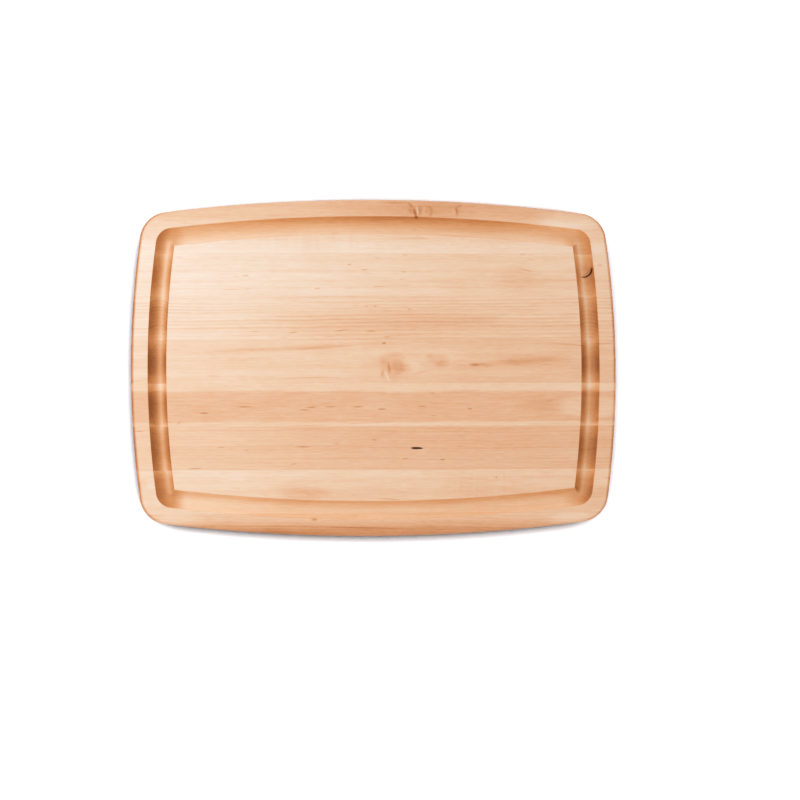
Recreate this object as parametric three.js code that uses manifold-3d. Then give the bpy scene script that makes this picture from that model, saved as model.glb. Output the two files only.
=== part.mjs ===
// Edge grain maple cutting board with bowed sides and a juice groove.
// Straight full length rails are glued edge to edge, and the outline, edges and groove
// are then machined across all of them. Millimetres, +Z up, +X along the grain, +Y to
// the back edge, with the origin under the centre of the underside.

import * as THREE from 'three';
import { mergeVertices } from 'three/addons/utils/BufferGeometryUtils.js';
import Module from 'manifold-3d';

const wasm = await Module();
wasm.setup();

// Board
const boardLength = 508; // along the grain, between the crowns of the bowed ends
const boardWidth = 352.5; // across the grain, between the crowns of the bowed sides
const boardThickness = 38.1;
const sideBowRadius = 1757; // bow of the two long sides
const endBowRadius = 1007; // bow of the two ends
const cornerRadius = 30;
const edgeRadius = 3.2; // round over all along the top and bottom edges

// Juice groove
const rimWidth = 17.5; // flat rim between the board's edge and the groove
const grooveWidth = 19; // at the cutting face
const grooveDepth = 7;
const grooveBendRadius = 8; // of the groove's centre line at the corners

// Rails
const railWidth = 45.3; // each rail between the two outer ones
const backRailWidth = 56.85; // at the crown of the back edge
const leastFrontRailWidth = 12; // the front rail takes what is left, and no less than this

// Facets
const sideSteps = 24; // along each long side
const endSteps = 16; // along each end
const cornerSteps = 8; // round each corner
const edgeSteps = 4; // round each eased edge
const grooveSteps = 12; // across the groove
const leastBendRadius = 0.5; // keeps the groove's inner corners from closing to a point
const slabMargin = 10; // how far a rail's cutting slab reaches past the board

// Maple tones, from the palest sapwood rail to the warmest
const mapleTones = {
  cream: 0xefd9bd,
  pale: 0xecd0b0,
  honey: 0xe4be97,
  rose: 0xe6c09d,
  amber: 0xddb083,
};
const railTones = ['pale', 'cream', 'honey', 'pale', 'rose', 'honey', 'cream', 'amber'];
const mapleRoughness = 0.55;

// Crossing of two circles that lies furthest along +X and +Y
function circleCrossing(centreA, radiusA, centreB, radiusB) {
  const between = centreB.clone().sub(centreA);
  const distance = between.length();
  const along = (radiusA ** 2 - radiusB ** 2 + distance ** 2) / (2 * distance);
  const across = Math.sqrt(radiusA ** 2 - along ** 2);
  const direction = between.divideScalar(distance);
  const foot = centreA.clone().addScaledVector(direction, along);
  const normal = new THREE.Vector2(-direction.y, direction.x);
  const first = foot.clone().addScaledVector(normal, across);
  const second = foot.clone().addScaledVector(normal, -across);
  return first.x + first.y > second.x + second.y ? first : second;
}

// The board's outline drawn in by inset, with its corners rounded to bend, at one height.
// Every outline has the same number of points, so any two can be joined by a strip.
function outline(inset, bend, height) {
  const sideCentre = new THREE.Vector2(0, boardWidth / 2 - sideBowRadius);
  const endCentre = new THREE.Vector2(boardLength / 2 - endBowRadius, 0);
  const sideReach = sideBowRadius - inset;
  const endReach = endBowRadius - inset;
  const corner = circleCrossing(sideCentre, sideReach - bend, endCentre, endReach - bend);
  const sideHalfAngle = Math.atan2(corner.x, corner.y - sideCentre.y);
  const endHalfAngle = Math.atan2(corner.y, corner.x - endCentre.x);

  const right = 0;
  const back = Math.PI / 2;
  const left = Math.PI;
  const front = (3 * Math.PI) / 2;
  const fullTurn = 2 * Math.PI;
  const arcs = [
    [endCentre.x, 0, endReach, right - endHalfAngle, right + endHalfAngle, endSteps],
    [corner.x, corner.y, bend, right + endHalfAngle, back - sideHalfAngle, cornerSteps],
    [0, sideCentre.y, sideReach, back - sideHalfAngle, back + sideHalfAngle, sideSteps],
    [-corner.x, corner.y, bend, back + sideHalfAngle, left - endHalfAngle, cornerSteps],
    [-endCentre.x, 0, endReach, left - endHalfAngle, left + endHalfAngle, endSteps],
    [-corner.x, -corner.y, bend, left + endHalfAngle, front - sideHalfAngle, cornerSteps],
    [0, -sideCentre.y, sideReach, front - sideHalfAngle, front + sideHalfAngle, sideSteps],
    [corner.x, -corner.y, bend, front + sideHalfAngle, fullTurn - endHalfAngle, cornerSteps],
  ];
  const points = [];
  for (const [x, y, radius, from, to, steps] of arcs) {
    for (let step = 0; step < steps; step += 1) {
      const angle = from + ((to - from) * step) / steps;
      const reachX = x + radius * Math.cos(angle);
      const reachY = y + radius * Math.sin(angle);
      points.push(new THREE.Vector3(reachX, reachY, height));
    }
  }
  return points;
}

// Outlines from the underside, up over the eased edges to the rim
function edgeOutlines() {
  const rings = [];
  for (let step = 0; step <= edgeSteps; step += 1) {
    const angle = ((Math.PI / 2) * step) / edgeSteps;
    const inset = edgeRadius * (1 - Math.sin(angle));
    rings.push(outline(inset, cornerRadius - inset, edgeRadius * (1 - Math.cos(angle))));
  }
  for (let step = 0; step <= edgeSteps; step += 1) {
    const angle = ((Math.PI / 2) * step) / edgeSteps;
    const inset = edgeRadius * (1 - Math.cos(angle));
    const height = boardThickness - edgeRadius * (1 - Math.sin(angle));
    rings.push(outline(inset, cornerRadius - inset, height));
  }
  return rings;
}

// Outlines from the groove's outer lip, down through its round bottom, to its inner lip
function grooveOutlines() {
  const halfWidth = grooveWidth / 2;
  const cutterRadius = (halfWidth ** 2 + grooveDepth ** 2) / (2 * grooveDepth);
  const cutterHeight = boardThickness - grooveDepth + cutterRadius;
  const lipAngle = grooveDepth > halfWidth
    ? Math.PI - Math.asin(halfWidth / cutterRadius)
    : Math.asin(halfWidth / cutterRadius);
  const bend = Math.max(grooveBendRadius, cornerRadius - rimWidth - halfWidth);
  const rings = [];
  for (let step = 0; step <= grooveSteps; step += 1) {
    const angle = lipAngle * (1 - (2 * step) / grooveSteps);
    const outward = cutterRadius * Math.sin(angle);
    const onLip = step === 0 || step === grooveSteps;
    const height = onLip ? boardThickness : cutterHeight - cutterRadius * Math.cos(angle);
    const inset = rimWidth + halfWidth - outward;
    rings.push(outline(inset, Math.max(bend + outward, leastBendRadius), height));
  }
  return rings;
}

// Closed skin of the whole machined board
function boardGeometry() {
  const rings = [...edgeOutlines(), ...grooveOutlines()];
  const count = rings[0].length;
  const indices = [];
  for (let ring = 0; ring + 1 < rings.length; ring += 1) {
    for (let point = 0; point < count; point += 1) {
      const next = (point + 1) % count;
      const lower = ring * count;
      const upper = lower + count;
      indices.push(lower + point, lower + next, upper + next);
      indices.push(lower + point, upper + next, upper + point);
    }
  }
  const flatten = (ring) => ring.map((point) => new THREE.Vector2(point.x, point.y));
  const topStart = (rings.length - 1) * count;
  for (const [a, b, c] of THREE.ShapeUtils.triangulateShape(flatten(rings.at(-1)), [])) {
    indices.push(topStart + a, topStart + b, topStart + c);
  }
  for (const [a, b, c] of THREE.ShapeUtils.triangulateShape(flatten(rings[0]), [])) {
    indices.push(c, b, a);
  }
  const geometry = new THREE.BufferGeometry().setFromPoints(rings.flat());
  geometry.setIndex(indices);
  return geometry;
}

function toSolid(geometry) {
  const bare = geometry.clone();
  bare.deleteAttribute('normal');
  bare.deleteAttribute('uv');
  const merged = mergeVertices(bare, 1e-4);
  const vertProperties = new Float32Array(merged.attributes.position.array);
  const triVerts = new Uint32Array(merged.index.array);
  return new wasm.Manifold(new wasm.Mesh({ numProp: 3, vertProperties, triVerts }));
}

function toGeometry(solid) {
  const mesh = solid.getMesh();
  const geometry = new THREE.BufferGeometry();
  geometry.setAttribute('position', new THREE.BufferAttribute(mesh.vertProperties, 3));
  geometry.setIndex(new THREE.BufferAttribute(mesh.triVerts, 1));
  geometry.computeVertexNormals();
  return geometry;
}

// The stretch of the board between two glue lines, as a slab to cut a rail with
function railSlab(frontLine, backLine) {
  const length = boardLength + 2 * slabMargin;
  const height = boardThickness + 2 * slabMargin;
  const slab = new THREE.BoxGeometry(length, backLine - frontLine, height);
  slab.translate(0, (frontLine + backLine) / 2, boardThickness / 2);
  const corners = slab.attributes.position;
  for (let corner = 0; corner < corners.count; corner += 1) {
    const atBack = corners.getY(corner) > (frontLine + backLine) / 2;
    corners.setY(corner, atBack ? backLine : frontLine); // the same value on both rails
  }
  return toSolid(slab);
}

// Glue lines from the back edge to the front, with a line past each edge of the board
function glueLines() {
  const inside = boardWidth - backRailWidth - leastFrontRailWidth;
  const innerRails = Math.max(0, Math.floor(inside / railWidth));
  const lines = [boardWidth / 2 + slabMargin];
  for (let line = 0; line <= innerRails; line += 1) {
    lines.push(boardWidth / 2 - backRailWidth - line * railWidth);
  }
  lines.push(-boardWidth / 2 - slabMargin);
  return lines;
}

function railName(index, count) {
  if (index === 0) return 'back_edge_rail';
  if (index === count - 1) return 'front_edge_rail';
  return `field_rail_${index}`;
}

function mapleMaterial(index) {
  const tone = railTones[index % railTones.length];
  return new THREE.MeshStandardMaterial({
    name: `maple_${tone}`,
    color: mapleTones[tone],
    roughness: mapleRoughness,
    metalness: 0,
  });
}

const board = new THREE.Group();
board.name = 'cutting_board';
const blank = toSolid(boardGeometry());
const lines = glueLines();
const railCount = lines.length - 1;
for (let index = 0; index < railCount; index += 1) {
  const rail = blank.intersect(railSlab(lines[index + 1], lines[index]));
  const mesh = new THREE.Mesh(toGeometry(rail), mapleMaterial(index));
  mesh.name = railName(index, railCount);
  board.add(mesh);
}

export default board;
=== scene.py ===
# Edge grain maple cutting board: eight rails glued side by side, with a juice groove
# routed round the cutting face. Sizes are in millimetres until a mesh is made.
import math
import bmesh
import bpy
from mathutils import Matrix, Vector


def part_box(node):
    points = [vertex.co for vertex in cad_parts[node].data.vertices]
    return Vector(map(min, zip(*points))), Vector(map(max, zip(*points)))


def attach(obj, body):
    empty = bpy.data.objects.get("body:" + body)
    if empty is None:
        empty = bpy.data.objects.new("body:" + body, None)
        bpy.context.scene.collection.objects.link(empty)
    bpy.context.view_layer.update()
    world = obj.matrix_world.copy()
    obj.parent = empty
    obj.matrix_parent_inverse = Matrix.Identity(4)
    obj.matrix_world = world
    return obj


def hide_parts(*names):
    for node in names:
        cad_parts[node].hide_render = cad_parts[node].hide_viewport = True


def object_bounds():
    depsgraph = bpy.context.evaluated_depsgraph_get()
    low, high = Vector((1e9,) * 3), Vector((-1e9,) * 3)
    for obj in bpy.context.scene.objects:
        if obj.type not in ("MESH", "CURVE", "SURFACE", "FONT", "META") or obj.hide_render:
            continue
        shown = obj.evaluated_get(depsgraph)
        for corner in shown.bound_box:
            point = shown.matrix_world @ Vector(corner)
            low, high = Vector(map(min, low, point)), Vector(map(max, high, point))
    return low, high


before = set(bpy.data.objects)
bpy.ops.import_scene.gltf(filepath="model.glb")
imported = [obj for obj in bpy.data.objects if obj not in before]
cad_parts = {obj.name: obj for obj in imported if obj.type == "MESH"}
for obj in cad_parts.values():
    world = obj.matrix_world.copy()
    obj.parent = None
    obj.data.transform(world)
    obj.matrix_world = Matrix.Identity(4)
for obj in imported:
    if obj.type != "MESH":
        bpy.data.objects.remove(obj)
cadLow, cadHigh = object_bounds()

mm = 0.001
quarterTurn = math.pi / 2


def hexToLinear(text):
    channels = [int(text[k:k + 2], 16) / 255 for k in (1, 3, 5)]
    return [c / 12.92 if c <= 0.04045 else ((c + 0.055) / 1.055) ** 2.4 for c in channels] + [1.0]


# Adds one node with its settings and feeds. A feed is a number, a vector, a colour, a socket, or a node
# whose first live output is meant.
def addNode(tree, kind, feeds=None, **settings):
    node = tree.nodes.new(kind)
    for name, value in settings.items():
        setattr(node, name, value)
    for socket, value in (feeds or {}).items():
        if isinstance(value, bpy.types.Node):
            value = next(output for output in value.outputs if output.enabled)
        if isinstance(value, bpy.types.NodeSocket):
            tree.links.new(value, node.inputs[socket])
        else:
            node.inputs[socket].default_value = value
    return node


# Camera and light

photoView = {
    "place": (-90.6, -106.3, 1971),  # mm from the middle of the cutting face
    "turn": (2.10, -3.37, -0.27),    # degrees about X, Y and Z
    "lens": 85,
}

studio = {
    "keyFrom": (-0.62, 0.12, 0.72),  # to the left of the board and above it
    "keyAway": 1.3,                  # metres from the board to the soft box
    "keySize": 0.8,                  # metres across
    "keyPower": 3.7,
    "tentTop": 0.62,                 # the light tent is dimmer overhead than at its walls
    "tentWalls": 1.55,
    "tentFade": 1.5,                 # a higher power keeps its bright part nearer the walls
    "floorPaper": "#e6e6e6",
    "floorSeen": "#dce6ee",          # a little cooler, against the warm light that the board throws on it
    "floorLift": 2.4,                # how much brighter the camera sees the floor, so that it goes white
    "floorReach": 12,                # metres
    "shadowReach": 26,               # mm in front of the board that its contact shadow spreads over
    "shadowDepth": 0.95,
    "shadowFaces": (0, 1, 0.06),     # the floor looks for the board this way, nearly level and to the back
    "shadowSpan": (0.5, 0.74),       # shares of open view at which the shadow is full and at which it ends
    "shadowSamples": 8,
}

camera = bpy.data.objects.new("photoCamera", bpy.data.cameras.new("photoCamera"))
camera.data.lens = photoView["lens"]
camera.location = Vector(photoView["place"]) * mm + Vector((0, 0, cadHigh.z))
camera.rotation_euler = [math.radians(a) for a in photoView["turn"]]
bpy.context.scene.collection.objects.link(camera)
bpy.context.scene.camera = camera
bpy.context.scene.view_settings.view_transform = "Standard"

key = bpy.data.objects.new("softBox", bpy.data.lights.new("softBox", "AREA"))
key.data.shape = "DISK"
key.data.size = studio["keySize"]
key.data.energy = studio["keyPower"]
keyWay = Vector(studio["keyFrom"]).normalized()
key.location = keyWay * studio["keyAway"]
key.rotation_euler = keyWay.to_track_quat("Z", "Y").to_euler()
bpy.context.scene.collection.objects.link(key)

world = bpy.data.worlds.new("paleStudio")
world.use_nodes = True
world.node_tree.nodes.clear()
rays = addNode(world.node_tree, "ShaderNodeLightPath")
mirrored = addNode(world.node_tree, "ShaderNodeMath",
                   {0: rays.outputs["Is Glossy Ray"], 1: rays.outputs["Is Transmission Ray"]},
                   operation="MAXIMUM")
seen = addNode(world.node_tree, "ShaderNodeMath", {0: rays.outputs["Is Camera Ray"], 1: mirrored},
               operation="MAXIMUM")
heading = addNode(world.node_tree, "ShaderNodeTexCoord").outputs["Generated"]
heading = addNode(world.node_tree, "ShaderNodeSeparateXYZ", {0: heading})
low = addNode(world.node_tree, "ShaderNodeMath", {0: 1.0, 1: heading.outputs["Z"]}, operation="SUBTRACT",
              use_clamp=True)
low = addNode(world.node_tree, "ShaderNodeMath", {0: low, 1: studio["tentFade"]}, operation="POWER")
tent = addNode(world.node_tree, "ShaderNodeMapRange",
               {"Value": low, "To Min": studio["tentTop"], "To Max": studio["tentWalls"]})
level = addNode(world.node_tree, "ShaderNodeMix", {0: seen, 2: tent, 3: 1.0}, data_type="FLOAT")
sky = addNode(world.node_tree, "ShaderNodeBackground", {"Color": (1, 1, 1, 1), "Strength": level})
addNode(world.node_tree, "ShaderNodeOutputWorld", {"Surface": sky})
bpy.context.scene.world = world


def paleFloor():
    reach = studio["floorReach"] / 2
    corners = [(-reach, -reach, 0), (reach, -reach, 0), (reach, reach, 0), (-reach, reach, 0)]
    mesh = bpy.data.meshes.new("floor")
    mesh.from_pydata(corners, [], [(0, 1, 2, 3)])
    material = bpy.data.materials.new("mattPaper")  # matt white paper roll, which only shows the shadow
    material.use_nodes = True
    tree = material.node_tree
    tree.nodes.clear()
    lifted = [studio["floorLift"] * c for c in hexToLinear(studio["floorSeen"])[:3]]
    plain = addNode(tree, "ShaderNodeBsdfDiffuse", {"Color": hexToLinear(studio["floorPaper"])})
    # the contact shadow: what the board hides from floor that looks back at it
    full, ended = studio["shadowSpan"]
    clear = addNode(tree, "ShaderNodeAmbientOcclusion",
                    {"Normal": studio["shadowFaces"], "Distance": studio["shadowReach"] * mm},
                    samples=studio["shadowSamples"])
    clear = addNode(tree, "ShaderNodeMapRange", {"Value": clear.outputs["AO"], "From Min": full,
                                                 "From Max": ended, "To Min": 1 - studio["shadowDepth"]})
    lifted = addNode(tree, "ShaderNodeVectorMath", {0: lifted, "Scale": clear}, operation="SCALE")
    toCamera = addNode(tree, "ShaderNodeBsdfDiffuse", {"Color": lifted})
    path = addNode(tree, "ShaderNodeLightPath")
    both = addNode(tree, "ShaderNodeMixShader", {0: path.outputs["Is Camera Ray"], 1: plain, 2: toCamera})
    addNode(tree, "ShaderNodeOutputMaterial", {"Surface": both})
    mesh.materials.append(material)
    floor = bpy.data.objects.new("floor", mesh)
    bpy.context.scene.collection.objects.link(floor)


paleFloor()
print("camera, light and floor are in place")


# Board shape

board = {
    "length": (cadHigh.x - cadLow.x) / mm,
    "width": (cadHigh.y - cadLow.y) / mm,
    "thickness": (cadHigh.z - cadLow.z) / mm,
    "sideBow": 1757,       # radius that the long sides are bowed to
    "endBow": 1007,
    "corner": 30,
    "edge": 3.2,           # round over along the top and bottom edges
    "rim": 17.5,           # from the board's edge to the groove
    "groove": 19,
    "grooveDepth": 7,
    "grooveBend": 8,       # of the groove's centre line at the corners
    "lip": 0.4,            # round over of the groove's sanded lips
    "flat": 0.4,           # strip of true flat beside each rounded edge, which keeps the faces' shading even
    "weld": 0.002,         # points nearer than this are one
    "sideSteps": 84,
    "endSteps": 56,
    "cornerSteps": 22,
    "edgeSteps": 12,
    "noseSteps": 44,
    "lipSteps": 5,
    "sharpAngle": 28,      # degrees: edges over this stay crisp
}


# Crossing of the bowed side's circle and the bowed end's circle, both drawn in by the same amount
def bowCrossing(inset):
    side = board["sideBow"] - inset
    end = board["endBow"] - inset
    sideY = board["width"] / 2 - board["sideBow"]
    endX = board["length"] / 2 - board["endBow"]
    gap = math.hypot(endX, sideY)
    along = (side ** 2 - end ** 2 + gap ** 2) / (2 * gap)
    across = math.sqrt(side ** 2 - along ** 2)
    x = (endX * along - sideY * across) / gap
    y = sideY - (sideY * along + endX * across) / gap
    return Vector((x, y, 0))


# The eight arcs of the outline drawn in by inset: centre, radius, first and last angle, steps
def bowedArcs(inset, bend):
    sideY = board["width"] / 2 - board["sideBow"]
    endX = board["length"] / 2 - board["endBow"]
    corner = bowCrossing(inset + bend)
    lean = math.atan2(corner.x, corner.y - sideY)
    tilt = math.atan2(corner.y, corner.x - endX)
    arcs = []
    for turn in range(4):  # each turn draws one bowed edge and the corner after it
        start = turn * quarterTurn
        onEnd = turn % 2 == 0
        half, nextHalf = (tilt, lean) if onEnd else (lean, tilt)
        reach = (board["endBow"] if onEnd else board["sideBow"]) - inset
        middle = Vector((endX, 0, 0)) if onEnd else Vector((0, sideY, 0))
        side = 1 if turn < 2 else -1
        steps = board["endSteps"] if onEnd else board["sideSteps"]
        arcs.append((middle * side, reach, start - half, start + half, steps))
        signX, signY = ((1, 1), (-1, 1), (-1, -1), (1, -1))[turn]
        bendCentre = Vector((corner.x * signX, corner.y * signY, 0))
        arcs.append((bendCentre, bend, start + half, start + quarterTurn - nextHalf, board["cornerSteps"]))
    return arcs


# A loop of points that carries, for each step round the board, the outline, the groove's centre line
# and the way that each of them moves when it is drawn out or in
def guideLoop():
    grooveLine = board["rim"] + board["groove"] / 2
    deep = grooveLine + 2 * board["grooveBend"]
    mitreSlope = bowCrossing(deep) - bowCrossing(deep + 1)  # a sharp corner's travel for each mm of inset
    rows = {"outline": [], "outlineOut": [], "groove": [], "grooveOut": [], "grooveIn": []}
    pairs = zip(bowedArcs(0, board["corner"]), bowedArcs(grooveLine, board["grooveBend"]))
    for index, (edgeArc, grooveArc) in enumerate(pairs):
        steps = edgeArc[4]
        for step in range(steps):
            for name, (middle, radius, first, last, _) in (("outline", edgeArc), ("groove", grooveArc)):
                angle = first + (last - first) * step / steps
                out = Vector((math.cos(angle), math.sin(angle), 0))
                rows[name].append((middle + radius * out) * mm)
                rows[name + "Out"].append(out)
            point, out = rows["groove"][-1], rows["grooveOut"][-1]
            atCorner = index % 2 == 1 or step == 0
            mitre = Vector((math.copysign(mitreSlope.x, point.x), math.copysign(mitreSlope.y, point.y), 0))
            rows["grooveIn"].append(mitre if atCorner else out)
    mesh = bpy.data.meshes.new("guideLoop")
    mesh.from_pydata(rows["outline"], [], [])
    for name in ("outlineOut", "groove", "grooveOut", "grooveIn"):
        layer = mesh.attributes.new(name, "FLOAT_VECTOR", "POINT")
        layer.data.foreach_set("vector", [value for vector in rows[name] for value in vector])
    return bpy.data.objects.new("guideLoop", mesh)


def arcPoints(across, down, radius, first, last, steps):
    for step in range(steps + 1):
        angle = first + (last - first) * step / steps
        yield across + radius * math.cos(angle), down + radius * math.sin(angle)


def noseRadius():  # of the round nosed cutter, from the groove's width and depth
    half, depth = board["groove"] / 2, board["grooveDepth"]
    return (half ** 2 + depth ** 2) / (2 * depth)


# Section of the machined board as a row of points: x is the distance out from the outline or from
# the groove's centre line, z is the height
def sectionRow():
    edge, lip = board["edge"], board["lip"]
    nose = noseRadius()
    noseDown = board["grooveDepth"] - nose
    lipOut = math.sqrt((nose + lip) ** 2 - (lip - noseDown) ** 2)
    lean = math.atan2(lip - noseDown, lipOut)      # where the lip's arc meets the cutter's
    edgeRow = [(-edge - board["flat"], board["thickness"])]
    edgeRow += arcPoints(-edge, board["thickness"] - edge, edge, quarterTurn, 0, board["edgeSteps"])
    edgeRow += arcPoints(-edge, edge, edge, 0, -quarterTurn, board["edgeSteps"])
    edgeRow.append((-edge - board["flat"], 0))
    grooveRow = [(lipOut + board["flat"], 0)]
    grooveRow += arcPoints(lipOut, lip, lip, -quarterTurn, lean - math.pi, board["lipSteps"])
    grooveRow += arcPoints(0, noseDown, nose, lean, math.pi - lean, board["noseSteps"])
    grooveRow += arcPoints(-lipOut, lip, lip, -lean, -quarterTurn, board["lipSteps"])
    grooveRow.append((-lipOut - board["flat"], 0))
    points = [(x * mm, 0, (board["thickness"] - down) * mm) for x, down in edgeRow + grooveRow]
    mesh = bpy.data.meshes.new("sectionRow")
    mesh.from_pydata(points, [], [])
    layer = mesh.attributes.new("isGroove", "FLOAT", "POINT")
    layer.data.foreach_set("value", [0.0] * len(edgeRow) + [1.0] * len(grooveRow))
    return bpy.data.objects.new("sectionRow", mesh)


# A grown-in twig that the cutter crossed in the right run of the groove. Its bark has shrunk away from
# one side and left a curved crack.
barkCrack = {
    "at": (221.3, 103.5),   # mm, the twig's middle on the board
    "radius": 8.2,
    "from": -116,           # degrees round the twig
    "to": 2,
    "widest": -28,
    "width": 1.15,
    "deep": 1.6,
    "tip": 0.04,            # share of its width and depth that is left at both ends
    "above": 1.5,           # how far the blade that cuts it stands out of the wood
    "steps": 28,
    "brownFrom": 0.4,       # share of the radius at which the wood inside starts to turn brown
    "brownDepth": 0.12,
    "brownFade": 3,         # mm past the crack
    "ripples": 2.6,         # radians for each mm out from the middle
    "rippleDepth": 0.03,
    "bark": (1.0, 0.35),    # mm from the crack's line at which its bark starts and is full
    "barkDepth": 0.6,
    "sideTurn": 10,         # degrees on from the crack's middle to the middle of the browned side
    "side": (0.35, 0.85),   # cosines from there at which the brown starts and is full
}


# The crack as a thin curved blade that is cut out of the rail
def crackBlade():
    x, y = barkCrack["at"]
    span = barkCrack["to"] - barkCrack["from"]
    nose = noseRadius()
    farthest = 0.98 * nose  # from the groove's line, past which the cutter's arc has no height
    grooveReach = board["endBow"] - board["rim"] - board["groove"] / 2
    shape = bmesh.new()
    sections = []
    for step in range(barkCrack["steps"] + 1):
        degrees = barkCrack["from"] + span * step / barkCrack["steps"]
        side = "to" if degrees > barkCrack["widest"] else "from"
        taper = 1 - ((degrees - barkCrack["widest"]) / (barkCrack[side] - barkCrack["widest"])) ** 2
        taper = max(taper, barkCrack["tip"])
        angle = math.radians(degrees)
        top, bottom = barkCrack["above"], -taper * barkCrack["deep"]
        corners = []
        for reach, above in ((-0.5, top), (0.5, top), (0.5, bottom), (-0.5, bottom)):
            radius = barkCrack["radius"] + reach * taper * barkCrack["width"]
            point = Vector((x + radius * math.cos(angle), y + radius * math.sin(angle), 0))
            fromLine = point.x - (board["length"] / 2 - board["endBow"]
                                  + math.sqrt(grooveReach ** 2 - point.y ** 2))
            fromLine = max(-farthest, min(farthest, fromLine))
            face = board["thickness"] - board["grooveDepth"] + nose - math.sqrt(nose ** 2 - fromLine ** 2)
            point.z = min(face, board["thickness"]) + above
            corners.append(shape.verts.new(point * mm))
        sections.append(corners)
    for here, ahead in zip(sections, sections[1:]):
        for k in range(4):
            shape.faces.new((here[k], here[(k + 1) % 4], ahead[(k + 1) % 4], ahead[k]))
    shape.faces.new(sections[0])
    shape.faces.new(sections[-1])
    bmesh.ops.recalc_face_normals(shape, faces=shape.faces)
    mesh = bpy.data.meshes.new("crackBlade")
    shape.to_mesh(mesh)
    shape.free()
    return bpy.data.objects.new("crackBlade", mesh)


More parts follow.
